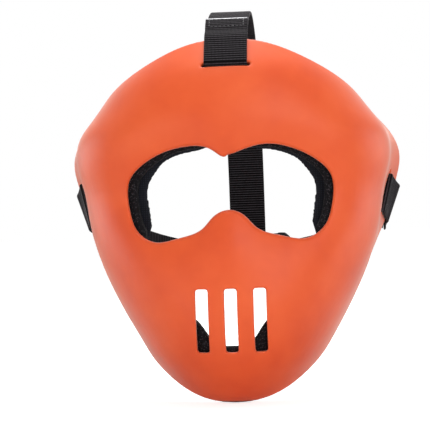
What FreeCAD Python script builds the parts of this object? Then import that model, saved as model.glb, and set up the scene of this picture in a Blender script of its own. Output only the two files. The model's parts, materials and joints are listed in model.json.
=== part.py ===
import FreeCAD, Part
import math
import os
from FreeCAD import Vector

# Field hockey face mask: a moulded shell with foam pads inside and an elastic head harness.
# Millimetres. +Z is up, the wearer looks along -Y and their left is +X. Symmetric about X = 0.
# The origin is at eye height in the symmetry plane, level with the wearer's temples.

# Shell
top_height = 90.0  # top edge above the eye line
chin_drop = 122.0  # bottom edge below the eye line
temple_half_width = 95.0
face_depth = 79.0  # foremost point of the muzzle ahead of the origin
wing_reach = 27.0  # rear edge of the side wings behind the origin
wing_flare = 8.0  # how far the wing's rear edge stands out
flare_power = 1.2  # 1 is a sharp crease ahead of the wing, more is softer
shell_wall = 4.0
edge_bevel = 1.2

# Levels of the shell's outer face, from above its top edge to below its chin: height (share of
# top_height above the eye line, of chin_drop below), half-width, depth and flare, and the power
# that makes the level squarer than an ellipse
level_shares = (
    (1.155, 0.253, 0.316, 0.0, 2.3),
    (1.067, 0.358, 0.430, 0.0, 2.3),
    (0.978, 0.453, 0.532, 0.0, 2.3),
    (0.889, 0.556, 0.614, 0.0, 2.3),
    (0.789, 0.669, 0.690, 0.0, 2.3),
    (0.689, 0.760, 0.741, 0.05, 2.3),
    (0.589, 0.832, 0.778, 0.20, 2.3),
    (0.489, 0.905, 0.804, 0.45, 2.3),
    (0.389, 0.975, 0.816, 0.70, 2.3),
    (0.278, 1.003, 0.823, 0.92, 2.3),
    (0.156, 0.992, 0.823, 1.0, 2.3),
    (0.022, 0.958, 0.828, 1.0, 2.3),
    (-0.082, 0.937, 0.858, 0.92, 2.3),
    (-0.180, 0.915, 0.900, 0.62, 2.3),
    (-0.295, 0.872, 0.946, 0.30, 2.3),
    (-0.410, 0.815, 0.978, 0.08, 2.3),
    (-0.508, 0.755, 1.0, 0.0, 2.3),
    (-0.607, 0.689, 1.0, 0.0, 2.25),
    (-0.705, 0.619, 0.972, 0.0, 2.2),
    (-0.795, 0.557, 0.918, 0.0, 2.1),
    (-0.877, 0.488, 0.829, 0.0, 2.0),
    (-0.943, 0.425, 0.735, 0.0, 2.0),
    (-1.0, 0.345, 0.608, 0.0, 2.0),
    (-1.082, 0.295, 0.456, 0.0, 2.0),
)
level_angles = (0.0, 8.0, 16.0, 25.0, 35.0, 46.0, 58.0, 69.0, 80.0, 90.0)
wing_station_shares = (0.33, 0.67, 1.0, 1.25)

# Eye sockets and nose, as smooth swellings of the outer face
socket_spacing = 68.0
socket_height = 2.0
socket_reach_x = 30.0
socket_reach_z = 30.0
socket_depth = 10.0
nose_height = -14.0
nose_reach_x = 20.0
nose_reach_z = 24.0
nose_rise = 5.0

# Rear edge in side view: share of face_depth ahead of the origin or of wing_reach behind it,
# and share of the height
rim_shares = (
    (-0.60, 1.09),
    (-0.506, 1.0),
    (-0.449, 0.933),
    (-0.392, 0.856),
    (-0.316, 0.778),
    (-0.203, 0.689),
    (-0.02, 0.556),
    (0.518, 0.40),
    (0.889, 0.244),
    (1.0, 0.089),
    (0.963, -0.080),
    (0.778, -0.224),
    (0.407, -0.40),
    (-0.013, -0.576),
    (-0.203, -0.736),
    (-0.354, -0.848),
    (-0.532, -0.952),
    (-0.608, -0.996),
    (-0.68, -1.05),
)

# Eye opening in front view, wearer's left half, from the notch above the nose to the peak below
eye_half_width = 59.0
eye_top = 27.0
eye_bottom = 27.0
eye_outline_shares = (
    (0.0, 0.705),
    (0.145, 0.875),
    (0.375, 1.0),
    (0.61, 0.905),
    (0.85, 0.635),
    (0.98, 0.33),
    (0.99, -0.28),
    (0.905, -0.77),
    (0.73, -1.0),
    (0.50, -0.93),
    (0.26, -0.74),
    (0.145, -0.48),
    (0.0, -0.36),
)

# Mouth slots
mouth_slot_count = 3
mouth_slot_pitch = 16.3
mouth_slot_width = 7.1
mouth_slot_height = 35.8
mouth_slot_radius = 0.9
mouth_middle = -71.6

# Strap slots
strap_slot_width = 2.6
strap_slot_radius = 0.6
crown_slot_length = 28.5
crown_slot_height = 73.5
side_slot_length = 30.0
side_slot_height = -3.0
side_slot_depth = 4.0  # behind the origin

# Webbing and its hook-and-loop closures
webbing_width = 25.0
webbing_thickness = 1.5
tail_root_radius = 0.95  # the rounded fold at each slot
tail_root_lip = 0.2  # how far the fold stands past the webbing's edges
patch_width = 22.0
patch_thickness = 0.8
patch_length = 9.0
tail_lead = 7.0  # from the shell's edge to the patches
tail_end_margin = 1.5  # from the patches to the tail's end
rest_gap = 0.25  # between pieces that rest on each other
seat_gap = 0.3  # between the webbing and the shell inside it, and at the fold
moving_gap = 0.4  # between pieces that part from each other

# Harness round the head
harness_top = 111.5
harness_half_width = 84.0
harness_reach = 146.0
strap_tilt = 18.0  # degrees, the side straps run down to the back of the head
# Crown strap from the shell's top edge back: shares of harness_reach and harness_top
crown_route_shares = (
    (-0.20, 0.845),
    (-0.04, 0.94),
    (0.16, 1.0),
    (0.40, 0.98),
    (0.64, 0.87),
    (0.84, 0.66),
    (0.98, 0.38),
    (1.05, 0.08),
    (1.06, -0.14),
)
# Side strap from the wing back: shares of harness_half_width and harness_reach
side_route_shares = (
    (1.05, 0.27),
    (1.02, 0.38),
    (0.95, 0.53),
    (0.83, 0.69),
    (0.64, 0.84),
)
# The back of the head, where the rear pad lies
rear_route_shares = (
    (0.40, 0.94),
    (0.20, 0.985),
    (0.0, 1.0),
)
strap_end_gap = 3.0  # between the sewn ends of the side straps

# Rear pad, where the side straps meet under the crown strap's end
rear_pad_width = 62.0
rear_pad_height = 36.0
rear_pad_radius = 8.0
rear_pad_thickness = 4.0
crown_end_margin = 5.0  # from the crown strap's end to the pad's lower edge

# Foam pads and their linings
brow_thickness = 10.0
cheek_thickness = 10.0
chin_thickness = 9.0
lining_thickness = 1.0
pad_inset = 6.0  # from the shell's rear edge
eye_inset_x = 5.0  # how far the brow foam shows at the corners of the eye opening
eye_inset_z = 2.5  # how far it shows along the top
lining_show = 1.5  # how far the lining shows past the foam
brow_pad_top = 63.0
brow_pad_bottom = -28.0
temple_pad_end = -7.0
nose_clear_half_width = 49.0
nose_clear_top = -4.0
cheek_pad_top = -29.0
cheek_pad_bottom = -63.0
cheek_pad_inner = 30.0
cheek_pad_end = 3.0
cheek_lip = 3.0  # how far the cheek foam stays below the opening's lower edge
chin_pad_bottom = -114.0
# Upper edge of the chin pad in front view: shares of its half-width and of its height
chin_pad_half_width = 47.0
chin_pad_dip = -87.0
chin_pad_rise = 21.0
chin_edge_shares = (
    (0.0, 0.0),
    (0.22, 0.12),
    (0.38, 0.60),
    (0.60, 0.95),
    (1.0, 1.0),
)

cut_overrun = 90.0
band_step = 3.0


def height_of(share):
    return share * (top_height if share > 0 else chin_drop)


def depth_of(share):
    return share * (wing_reach if share > 0 else face_depth)


def swelling(x, z, middle, height, reach_x, reach_z):
    across = (x - middle) / reach_x
    along = (z - height) / reach_z
    return math.exp(-across * across - along * along)


def face_relief(x, z):
    # How far the eye sockets lie back, less how far the nose stands out
    relief = -nose_rise * swelling(x, z, 0, nose_height, nose_reach_x, nose_reach_z)
    for side in (-0.5, 0.5):
        middle = side * socket_spacing
        relief += socket_depth * swelling(x, z, middle, socket_height, socket_reach_x, socket_reach_z)
    return relief


def level_points(shares):
    # One level of the outer face, from the middle of the face to behind the wearer's left wing
    height_share, width_share, depth_share, flare_share, power = shares
    z = height_of(height_share)
    half_width = width_share * temple_half_width
    depth = depth_share * face_depth
    points = []
    for angle in level_angles:
        across = math.sin(math.radians(angle))
        ahead = math.cos(math.radians(angle))
        radius = ((across / half_width) ** power + (ahead / depth) ** power) ** (-1 / power)
        x = radius * across
        points.append(Vector(x, face_relief(x, z) - radius * ahead, z))
    for share in wing_station_shares:
        behind = share * width_share
        flare = wing_flare * flare_share * behind**flare_power
        points.append(Vector(half_width + flare, behind * wing_reach, z))
    return points


def mirrored(point):
    return Vector(-point.x, point.y, point.z)


def face_grid():
    rows = []
    for shares in level_shares:
        left = level_points(shares)
        right = [mirrored(point) for point in reversed(left[1:])]
        rows.append(right + left)
    return rows


def curve_through(points):
    curve = Part.BSplineCurve()
    curve.interpolate(points)
    return curve


def surface_through(rows):
    if len(rows) == 2:
        low, high = (curve_through(row).toShape() for row in rows)
        return Part.makeRuledSurface(low, high).Surface
    surface = Part.BSplineSurface()
    surface.interpolate(rows)
    return surface


def offset_grid(rows, distance, centre):
    # Moves every point along the surface's normal, away from the centre when distance is positive
    surface = surface_through(rows)
    moved_rows = []
    for row in rows:
        moved = []
        for point in row:
            u, v = surface.parameter(point)
            normal = surface.normal(u, v)
            if normal.dot(point - centre) < 0:
                normal = -normal
            moved.append(point + normal * distance)
        moved_rows.append(moved)
    return moved_rows


def solid_between(rows, other_rows):
    near = surface_through(rows)
    far = surface_through(other_rows)
    faces = [near.toShape(), far.toShape()]
    u0, u1, v0, v1 = near.bounds()
    s0, s1, t0, t1 = far.bounds()
    for near_edge, far_edge in ((near.uIso(u0), far.uIso(s0)), (near.uIso(u1), far.uIso(s1))):
        faces.append(Part.makeRuledSurface(near_edge.toShape(), far_edge.toShape()))
    for near_edge, far_edge in ((near.vIso(v0), far.vIso(t0)), (near.vIso(v1), far.vIso(t1))):
        faces.append(Part.makeRuledSurface(near_edge.toShape(), far_edge.toShape()))
    skin = Part.makeShell(faces)
    skin.sewShape()
    solid = Part.makeSolid(Part.Shell(skin.Faces))
    if solid.Volume < 0:
        solid.reverse()
    return solid


head_centre = Vector(0, wing_reach, 0)
outer_rows = face_grid()
outer_surface = surface_through(outer_rows)
outer_face = outer_surface.toShape()


def layer(depth):
    # The grid a given depth below the shell's outer face
    return offset_grid(outer_rows, -depth, head_centre) if depth else outer_rows


def slab(depth, thickness, spare_levels=0):
    # The solid between two layers, without the spare levels above the top edge and below the chin
    last = len(level_shares) - spare_levels
    near = layer(depth)[spare_levels:last]
    far = layer(depth + thickness)[spare_levels:last]
    return solid_between(near, far)


def side_profile(shares):
    # A solid with a rear edge given in side view, that runs forward past the face
    points = [Vector(0, depth_of(y), height_of(z)) for y, z in shares]
    curve = curve_through(points)
    front = -face_depth - cut_overrun
    top = Vector(0, front, points[0].z)
    bottom = Vector(0, front, points[-1].z)
    edges = [curve.toShape(), Part.makeLine(points[-1], bottom)]
    edges += [Part.makeLine(bottom, top), Part.makeLine(top, points[0])]
    face = Part.Face(Part.Wire(edges))
    width = 2 * (temple_half_width + cut_overrun)
    face.translate(Vector(-width / 2, 0, 0))
    return face.extrude(Vector(width, 0, 0))


def front_prism(wire):
    # Runs an outline in front view through the face
    face = Part.Face(wire)
    start = -face_depth - cut_overrun
    face.translate(Vector(0, start, 0))
    return face.extrude(Vector(0, -start, 0))


def mirrored_outline(points):
    # A closed curve through one half's points and their mirror images, both ends on the axis
    others = [mirrored(point) for point in reversed(points[1:-1])]
    curve = Part.BSplineCurve()
    curve.interpolate(Points=points + others, PeriodicFlag=True)
    return Part.Wire([curve.toShape()])


def eye_point(shares, inset_x, inset_z):
    x_share, z_share = shares
    height = eye_top - inset_z if z_share > 0 else eye_bottom
    return Vector(x_share * (eye_half_width - inset_x), 0, z_share * height)


def eye_outline(inset_x=0.0, inset_z=0.0):
    return mirrored_outline([eye_point(shares, inset_x, inset_z) for shares in eye_outline_shares])


def rounded_bar(length_x, length_z, radius):
    # An upright rounded rectangle in front view, centred on the origin
    x = length_x / 2
    z = length_z / 2
    box = Part.makePolygon([Vector(-x, 0, -z), Vector(x, 0, -z), Vector(x, 0, z), Vector(-x, 0, z),
                            Vector(-x, 0, -z)])
    prism = Part.Face(Part.Wire(box.Edges)).extrude(Vector(0, cut_overrun, 0))
    uprights = [edge for edge in prism.Edges if abs(edge.tangentAt(edge.FirstParameter).y) > 0.5]
    return prism.makeFillet(radius, uprights)


def mouth_slots():
    cutters = []
    for index in range(mouth_slot_count):
        bar = rounded_bar(mouth_slot_width, mouth_slot_height, mouth_slot_radius)
        place = (index - (mouth_slot_count - 1) / 2) * mouth_slot_pitch
        bar.translate(Vector(place, -face_depth - cut_overrun / 2, mouth_middle))
        cutters.append(bar)
    return cutters


def hit(start, end):
    # Where a line meets the shell's outer face
    distance, pairs, infos = outer_face.distToShape(Part.makeLine(start, end))
    return pairs[0][0]


def wing_point(along, across):
    # A point of the left wing, along and across the side strap from its slot's middle
    tilt = math.radians(strap_tilt)
    y = side_slot_depth + along * math.cos(tilt) + across * math.sin(tilt)
    z = side_slot_height - along * math.sin(tilt) + across * math.cos(tilt)
    return hit(Vector(0, y, z), Vector(temple_half_width + cut_overrun, y, z))


def crown_point(along, across):
    # A point of the forehead, a height above the crown slot's middle and across the crown strap
    z = crown_slot_height + along
    return hit(Vector(across, -face_depth - cut_overrun, z), Vector(across, 0, z))


def outward_at(point):
    normal = outer_surface.normal(*outer_surface.parameter(point))
    return normal if normal.dot(point - head_centre) > 0 else -normal


def ribbon_seat(point_at, along):
    # Where webbing crosses the shell: a line between two points of the outer face, its crosswise
    # and outward directions, and how far the face lies inside and outside that line
    places = (-0.5, -0.25, 0, 0.25, 0.5)
    points = [point_at(along, place * webbing_width) for place in places]
    across = (points[-1] - points[0]).normalize()
    base = points[0] + across * across.dot(points[2] - points[0])
    outward = outward_at(points[2])
    outward = (outward - across * outward.dot(across)).normalize()
    heights = [(point - base).dot(outward) for point in points]
    return base, across, outward, (min(heights), max(heights))


def ribbon_step(point_at, along, depth):
    # Middle and crosswise direction of webbing a depth below the outer face, clear of every bulge
    base, across, outward, bulge = ribbon_seat(point_at, along)
    clear = bulge[0] if depth > 0 else bulge[1]
    return base + outward * (clear - depth), across


def ribbon_edges(steps, width):
    return [[middle + across * width * side / 2 for middle, across in steps] for side in (-1, 1)]


def ribbon_curves(steps):
    # A ribbon's lower edge, middle line and upper edge
    low, high = ribbon_edges(steps, webbing_width)
    return [curve_through(row) for row in (low, [middle for middle, across in steps], high)]


def ribbon_length(steps):
    return ribbon_curves(steps)[1].length()


def point_along(curve, share):
    return curve.value(curve.parameterAtDistance(share * curve.length(), curve.FirstParameter))


def stretch(steps, first, last):
    # Even steps along a ribbon between two distances from its start
    curves = ribbon_curves(steps)
    count = math.ceil((last - first) / band_step)
    picked = []
    for index in range(count + 1):
        share = (first + (last - first) * index / count) / curves[1].length()
        low, middle, high = (point_along(curve, share) for curve in curves)
        picked.append((middle, (high - low).normalize()))
    return picked


def lifted(steps, distance):
    # A ribbon's even steps moved outwards from the head
    moved = []
    for index, (middle, across) in enumerate(steps):
        ahead = steps[min(index + 1, len(steps) - 1)][0]
        behind = steps[max(index - 1, 0)][0]
        outward = across.cross(ahead - behind).normalize()
        if outward.dot(middle - head_centre) < 0:
            outward = -outward
        moved.append((middle + outward * distance, across))
    return moved


def band(steps, width, low, high):
    # A sheet between two heights over a ribbon's even steps
    return solid_between(ribbon_edges(lifted(steps, low), width), ribbon_edges(lifted(steps, high), width))


def route_step(width_share, reach_share):
    # Round the head, on a plane that runs down from the side slots to the back
    tilt = math.radians(strap_tilt)
    y = reach_share * harness_reach
    z = side_slot_height - (y - side_slot_depth) * math.tan(tilt)
    return Vector(width_share * harness_half_width, y, z), Vector(0, math.sin(tilt), math.cos(tilt))


def rear_steps():
    # Round the back of the head, from the wearer's left to their right
    right = [(-x, y) for x, y in reversed(rear_route_shares[:-1])]
    return [route_step(x, y) for x, y in rear_route_shares + tuple(right)]


def bar_steps(point_at, span, depth, shares):
    return [ribbon_step(point_at, span * share, depth) for share in shares]


inner_depth = shell_wall + seat_gap + webbing_thickness / 2
outer_depth = -moving_gap - webbing_thickness / 2
rear_lift = rest_gap + webbing_thickness / 2
stack_lift = webbing_thickness + 2 * patch_thickness + 2 * rest_gap + moving_gap
crown_span = top_height - crown_slot_height
side_span = wing_reach - side_slot_depth
inner_bar_shares = (0.0, 0.25, 0.5, 0.75, 0.95)
outer_bar_shares = (0.0, 0.25, 0.5, 0.75, 1.0)


def crown_steps():
    steps = bar_steps(crown_point, crown_span, inner_depth, inner_bar_shares)
    for y_share, z_share in crown_route_shares:
        steps.append((Vector(0, y_share * harness_reach, z_share * harness_top), Vector(1, 0, 0)))
    rear, up = route_step(0, 1)
    outward = Vector(0, up.z, -up.y)
    lift = rear_lift + webbing_thickness + rest_gap
    for place in (rear_pad_height / 2, 0, crown_end_margin - rear_pad_height / 2):
        steps.append((rear + up * place + outward * lift, Vector(1, 0, 0)))
    return steps


def side_steps():
    steps = bar_steps(wing_point, side_span, inner_depth, inner_bar_shares)
    steps += [route_step(x, y) for x, y in side_route_shares]
    rear = stretch(rear_steps(), 0, (ribbon_length(rear_steps()) - strap_end_gap) / 2)
    return steps + lifted(rear, rear_lift)


def bar_length(point_at, span):
    # Inside the shell, from a slot to the shell's edge
    return (ribbon_step(point_at, span, inner_depth)[0] - ribbon_step(point_at, 0, inner_depth)[0]).Length


def root(steps):
    # The rounded end of a tail, about its hinge line
    middle, across = steps[0]
    length = webbing_width + 2 * tail_root_lip
    return Part.makeCylinder(tail_root_radius, length, middle - across * length / 2, across)


def slot_stub(point_at):
    # The end of a strap, turned out through its slot
    base, across, outward, bulge = ribbon_seat(point_at, 0)
    start = ribbon_step(point_at, 0, inner_depth)[0]
    reach = (ribbon_step(point_at, 0, outer_depth)[0] - start).Length - tail_root_radius - seat_gap
    stub = Part.makeBox(webbing_width, webbing_thickness, reach)
    stub.translate(Vector(-webbing_width / 2, -webbing_thickness / 2, 0))
    rotation = FreeCAD.Rotation(across, outward.cross(across), outward, "ZXY")
    stub.Placement = FreeCAD.Placement(start, rotation).multiply(stub.Placement)
    return stub


def closure(steps, point_at, span):
    # A strap, its tail and the two patches that hold them together
    half = webbing_thickness / 2
    near = half + rest_gap
    far = near + patch_thickness
    whole = stretch(steps, 0, ribbon_length(steps))
    strap = band(whole, webbing_width, -half, half).fuse(slot_stub(point_at))
    first = bar_length(point_at, span) + tail_lead
    last = first + patch_length
    loop = band(stretch(whole, first, last), patch_width, near, far)
    tail_steps = bar_steps(point_at, span, outer_depth, outer_bar_shares)
    tail_steps += lifted(stretch(whole, first, last + tail_end_margin), stack_lift)
    tail_steps = stretch(tail_steps, 0, ribbon_length(tail_steps))
    tail = band(tail_steps, webbing_width, -half, half).fuse(root(tail_steps))
    last = ribbon_length(tail_steps) - tail_end_margin
    hook = band(stretch(tail_steps, last - patch_length, last), patch_width, -far, -near)
    return {"strap": strap, "strap_tail": tail, "loop_patch": loop, "hook_patch": hook}


def strap_slot(point_at, length):
    # A cutter for a slot, square to the shell's outer face
    base, across, outward, bulge = ribbon_seat(point_at, 0)
    bar = rounded_bar(length, strap_slot_width, strap_slot_radius)
    bar.translate(Vector(0, -cut_overrun / 2, 0))
    rotation = FreeCAD.Rotation(across, outward, across.cross(outward), "YXZ")
    bar.Placement = FreeCAD.Placement(base, rotation).multiply(bar.Placement)
    return bar


def mirror_x(shape):
    return shape.mirror(Vector(0, 0, 0), Vector(1, 0, 0))


def shell():
    body = slab(0, shell_wall).common(side_profile(rim_shares))
    body = body.cut(front_prism(eye_outline()))
    long_edges = [edge for edge in body.Edges if edge.Length > 2 * eye_half_width]
    body = body.makeChamfer(edge_bevel, long_edges)
    side = strap_slot(wing_point, side_slot_length)
    cutters = mouth_slots() + [strap_slot(crown_point, crown_slot_length), side, mirror_x(side)]
    return body.cut(Part.makeCompound(cutters))


def block(low, high):
    return Part.makeBox(*(high - low), low)


def upright_block(half_width, bottom, top, rear):
    # Everything ahead of a depth, between two heights and two sides
    return block(Vector(-half_width, -face_depth - cut_overrun, bottom), Vector(half_width, rear, top))


def eye_clearance(inset_x, inset_z):
    return front_prism(eye_outline(inset_x, inset_z))


def brow_layer(depth, thickness, show):
    # From one temple over the brow to the other, showing past the eye opening's upper edge
    piece = slab(depth, thickness, 1)
    side = temple_half_width + cut_overrun
    piece = piece.common(upright_block(side, brow_pad_bottom, brow_pad_top, temple_pad_end))
    piece = piece.cut(eye_clearance(eye_inset_x + show, eye_inset_z + show))
    return piece.cut(upright_block(nose_clear_half_width, brow_pad_bottom - cut_overrun, nose_clear_top, 0))


def cheek_layer(depth, thickness):
    # The left cheek, below the eye opening's outer corner
    piece = slab(depth, thickness, 1)
    low = Vector(cheek_pad_inner, -face_depth - cut_overrun, cheek_pad_bottom)
    high = Vector(temple_half_width + cut_overrun, cheek_pad_end, cheek_pad_top)
    return piece.common(block(low, high)).cut(eye_clearance(-cheek_lip, -cheek_lip))


def chin_outline():
    # A U in front view: the chin cup's upper edge dips behind the mouth slots
    points = []
    for x_share, z_share in chin_edge_shares:
        points.append(Vector(x_share * chin_pad_half_width, 0, chin_pad_dip + z_share * chin_pad_rise))
    right = [mirrored(point) for point in reversed(points[1:])]
    curve = curve_through(right + points)
    low_right = Vector(-chin_pad_half_width, 0, chin_pad_bottom)
    low_left = Vector(chin_pad_half_width, 0, chin_pad_bottom)
    edges = [curve.toShape(), Part.makeLine(points[-1], low_left)]
    edges += [Part.makeLine(low_left, low_right), Part.makeLine(low_right, right[0])]
    return Part.Wire(edges)


def chin_layer(depth, thickness):
    piece = slab(depth, thickness, 1).common(front_prism(chin_outline()))
    keep = side_profile(rim_shares)
    keep.translate(Vector(0, -pad_inset, 0))
    return piece.common(keep)


def rear_pad():
    # A cushion bent round the back of the head, cut to a rounded outline
    steps = stretch(rear_steps(), 0, ribbon_length(rear_steps()))
    pad = band(steps, rear_pad_height, -rear_pad_thickness, 0)
    bar = rounded_bar(rear_pad_width, rear_pad_height, rear_pad_radius)
    bar.translate(Vector(0, -cut_overrun / 2, 0))
    bar.rotate(Vector(0, 0, 0), Vector(1, 0, 0), -strap_tilt)
    bar.translate(route_step(0, 1)[0])
    return pad.common(bar)


def build():
    parts = {"shell": shell()}
    seat = shell_wall + rest_gap
    parts["brow_pad"] = brow_layer(seat, brow_thickness, 0)
    parts["brow_lining"] = brow_layer(seat + brow_thickness, lining_thickness, lining_show)
    cheek = cheek_layer(seat, cheek_thickness)
    cheek_lining = cheek_layer(seat + cheek_thickness, lining_thickness)
    parts["left_cheek_pad"] = cheek
    parts["right_cheek_pad"] = mirror_x(cheek)
    parts["left_cheek_lining"] = cheek_lining
    parts["right_cheek_lining"] = mirror_x(cheek_lining)
    parts["chin_pad"] = chin_layer(seat, chin_thickness)
    parts["chin_lining"] = chin_layer(seat + chin_thickness, lining_thickness)
    parts["rear_pad"] = rear_pad()
    for key, shape in closure(crown_steps(), crown_point, crown_span).items():
        parts["crown_" + key] = shape
    for key, shape in closure(side_steps(), wing_point, side_span).items():
        parts["left_" + key] = shape
        parts["right_" + key] = mirror_x(shape)
    return parts


os.makedirs("parts", exist_ok=True)
for name, shape in build().items():
    shape.exportStep("parts/" + name + ".step")
    print(name, "written")
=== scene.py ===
import bpy
import json
import math
import numpy as np
from mathutils import Matrix, Vector


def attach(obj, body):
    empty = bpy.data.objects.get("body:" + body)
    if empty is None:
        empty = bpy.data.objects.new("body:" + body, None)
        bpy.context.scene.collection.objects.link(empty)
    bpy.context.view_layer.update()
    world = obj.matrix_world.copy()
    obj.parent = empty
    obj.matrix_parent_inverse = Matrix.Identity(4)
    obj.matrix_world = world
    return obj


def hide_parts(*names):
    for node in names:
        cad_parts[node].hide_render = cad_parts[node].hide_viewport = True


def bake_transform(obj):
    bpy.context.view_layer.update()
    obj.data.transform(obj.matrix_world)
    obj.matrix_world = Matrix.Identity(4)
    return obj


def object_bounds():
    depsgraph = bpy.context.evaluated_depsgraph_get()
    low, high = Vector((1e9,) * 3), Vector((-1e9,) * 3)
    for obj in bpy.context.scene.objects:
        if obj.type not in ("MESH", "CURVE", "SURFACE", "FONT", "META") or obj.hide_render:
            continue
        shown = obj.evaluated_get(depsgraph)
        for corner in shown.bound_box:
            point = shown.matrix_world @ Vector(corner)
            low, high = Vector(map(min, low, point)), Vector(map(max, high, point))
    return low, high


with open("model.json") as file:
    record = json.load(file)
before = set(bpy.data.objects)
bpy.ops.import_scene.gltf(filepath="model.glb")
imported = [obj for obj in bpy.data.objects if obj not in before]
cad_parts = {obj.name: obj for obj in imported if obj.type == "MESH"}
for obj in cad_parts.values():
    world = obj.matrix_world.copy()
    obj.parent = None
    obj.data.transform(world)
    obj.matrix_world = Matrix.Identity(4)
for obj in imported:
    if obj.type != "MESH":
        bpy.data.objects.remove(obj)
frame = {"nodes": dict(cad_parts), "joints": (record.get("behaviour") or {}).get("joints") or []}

cadLow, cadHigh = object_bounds()  # the CAD box, before anything is added
nodes = frame["nodes"]
joints = {joint["name"]: joint for joint in frame["joints"]}
mm = 0.001
print("frame loaded:", len(nodes), "nodes")


# camera

cameraView = {
    "azimuth": 4.0,  # degrees, the photo is taken a little from the wearer's left
    "elevation": 1.0,
    "roll": -1.9,
    "distance": 0.9,
    "sensorWidth": 36.0,  # mm
    "imageSize": 430.0,  # pixels
    "focalPixels": 1479.0,
    "originAcross": 234.7,  # where the mask's origin falls in the photo, in pixels
    "originDown": 192.0,
}


def makeCamera(view):
    turn, rise, roll = (math.radians(view[key]) for key in ("azimuth", "elevation", "roll"))
    back = Vector((math.sin(turn) * math.cos(rise), -math.cos(turn) * math.cos(rise), math.sin(rise)))
    level = Vector((math.cos(turn), math.sin(turn), 0))
    upright = back.cross(level)
    right = level * math.cos(roll) + upright * math.sin(roll)
    up = upright * math.cos(roll) - level * math.sin(roll)
    data = bpy.data.cameras.new("photoCamera")
    data.sensor_width = view["sensorWidth"]
    data.lens = view["focalPixels"] / view["imageSize"] * data.sensor_width
    camera = bpy.data.objects.new("photoCamera", data)
    bpy.context.scene.collection.objects.link(camera)
    perPixel = view["distance"] / view["focalPixels"]
    middle = view["imageSize"] / 2
    place = back * view["distance"]
    place += right * (middle - view["originAcross"]) * perPixel
    place += up * (view["originDown"] - middle) * perPixel
    camera.matrix_world = Matrix.Translation(place) @ Matrix((right, up, back)).transposed().to_4x4()
    bpy.context.scene.camera = camera


makeCamera(cameraView)
print("camera placed")


# materials

def linear(hexColour):
    # sRGB hex to the linear colour that the nodes take
    channels = [int(hexColour[i:i + 2], 16) / 255 for i in (1, 3, 5)]
    return [c / 12.92 if c <= 0.04045 else ((c + 0.055) / 1.055) ** 2.4 for c in channels] + [1.0]


def addNode(tree, kind, values=None, links=None, **settings):
    # one node with its settings, socket values and incoming links
    node = tree.nodes.new(kind)
    for key, value in settings.items():
        setattr(node, key, value)
    for key, value in (values or {}).items():
        node.inputs[key].default_value = value
    for key, source in (links or {}).items():
        tree.links.new(source, node.inputs[key])
    return node


def startMaterial(name, values):
    material = bpy.data.materials.new(name)
    material.use_nodes = True
    tree = material.node_tree
    tree.nodes.clear()
    shader = addNode(tree, "ShaderNodeBsdfPrincipled", values)
    addNode(tree, "ShaderNodeOutputMaterial", links={"Surface": shader.outputs["BSDF"]})
    return material, tree, shader


def rampStops(ramp, *pairs):
    # colour ramp stops: position and hex
    elements = ramp.color_ramp.elements
    while len(elements) < len(pairs):
        elements.new(0.5)
    for element, (position, hexColour) in zip(elements, pairs):
        element.position = position
        element.color = linear(hexColour)
    return ramp


def bandScale(pitch):
    # a wave texture's scale for bands this far apart, in metres
    return 2 * math.pi / 20 / pitch


def softTouchPlastic():
    # Injection-moulded polyurethane with a soft-touch skin: satin, broad soft lights, a pale bloom where
    # the surface turns away, faint flow mottling, and rims painted lighter, partly as wear and partly as a
    # painted highlight
    look = {
        "body": "#e55723", "deep": "#dd4f1f", "light": "#eb5f2a", "wearAndHighlight": "#f49264",
        "paintedShade": "#1c0f0c",  # painted shade in deep narrow hollows, such as the slots' ends and under the tails
        "mottle": 38 * mm, "skin": 1.1 * mm,  # the skin's texture is 0.1 mm, drawn coarser to show
    }
    material, tree, shader = startMaterial("softTouchPlastic", {
        "IOR": 1.5, "Specular IOR Level": 0.36,
        "Sheen Weight": 0.5, "Sheen Roughness": 0.3, "Sheen Tint": linear("#fff0e4"),
        "Subsurface Weight": 0.03, "Subsurface Radius": (0.003, 0.0012, 0.0006),
        "Subsurface Scale": 1.0})
    place = addNode(tree, "ShaderNodeTexCoord").outputs["Object"]
    flow = addNode(tree, "ShaderNodeTexNoise",
                   {"Scale": 1 / look["mottle"], "Detail": 3.0, "Roughness": 0.55}, {"Vector": place})
    tone = rampStops(addNode(tree, "ShaderNodeValToRGB", links={"Fac": flow.outputs["Fac"]}),
                     (0.3, look["deep"]), (0.5, look["body"]), (0.72, look["light"]))
    # the sharp rims are painted lighter: partly wear, partly a painted highlight
    edge = addNode(tree, "ShaderNodeNewGeometry").outputs["Pointiness"]
    rimLighten = addNode(tree, "ShaderNodeMapRange", {"From Min": 0.54, "From Max": 0.62}, {"Value": edge})
    colour = addNode(tree, "ShaderNodeMix", {"B": linear(look["wearAndHighlight"])},
                     {"Factor": rimLighten.outputs["Result"], "A": tone.outputs["Color"]}, data_type="RGBA")
    # painted shade: the colour darkens where ambient occlusion finds a narrow hollow, such as a slot's end
    # or the shell under a tail
    hollow = addNode(tree, "ShaderNodeAmbientOcclusion", {"Distance": 2.6 * mm}, samples=8)
    shadeShare = addNode(tree, "ShaderNodeMapRange", {"From Min": 0.5, "From Max": 0.3},
                     {"Value": hollow.outputs["AO"]})
    shadedColour = addNode(tree, "ShaderNodeMix", {"B": linear(look["paintedShade"])},
                     {"Factor": shadeShare.outputs["Result"], "A": colour.outputs["Result"]}, data_type="RGBA")
    tree.links.new(shadedColour.outputs["Result"], shader.inputs["Base Color"])
    gloss = addNode(tree, "ShaderNodeMapRange", {"To Min": 0.38, "To Max": 0.5},
                    {"Value": flow.outputs["Fac"]})
    tree.links.new(gloss.outputs["Result"], shader.inputs["Roughness"])
    skin = addNode(tree, "ShaderNodeTexNoise", {"Scale": 1 / look["skin"], "Detail": 2.0},
                   {"Vector": place})
    bump = addNode(tree, "ShaderNodeBump", {"Strength": 0.06, "Distance": 0.1 * mm},
                   {"Height": skin.outputs["Fac"]})
    tree.links.new(bump.outputs["Normal"], shader.inputs["Normal"])
    return material


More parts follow.
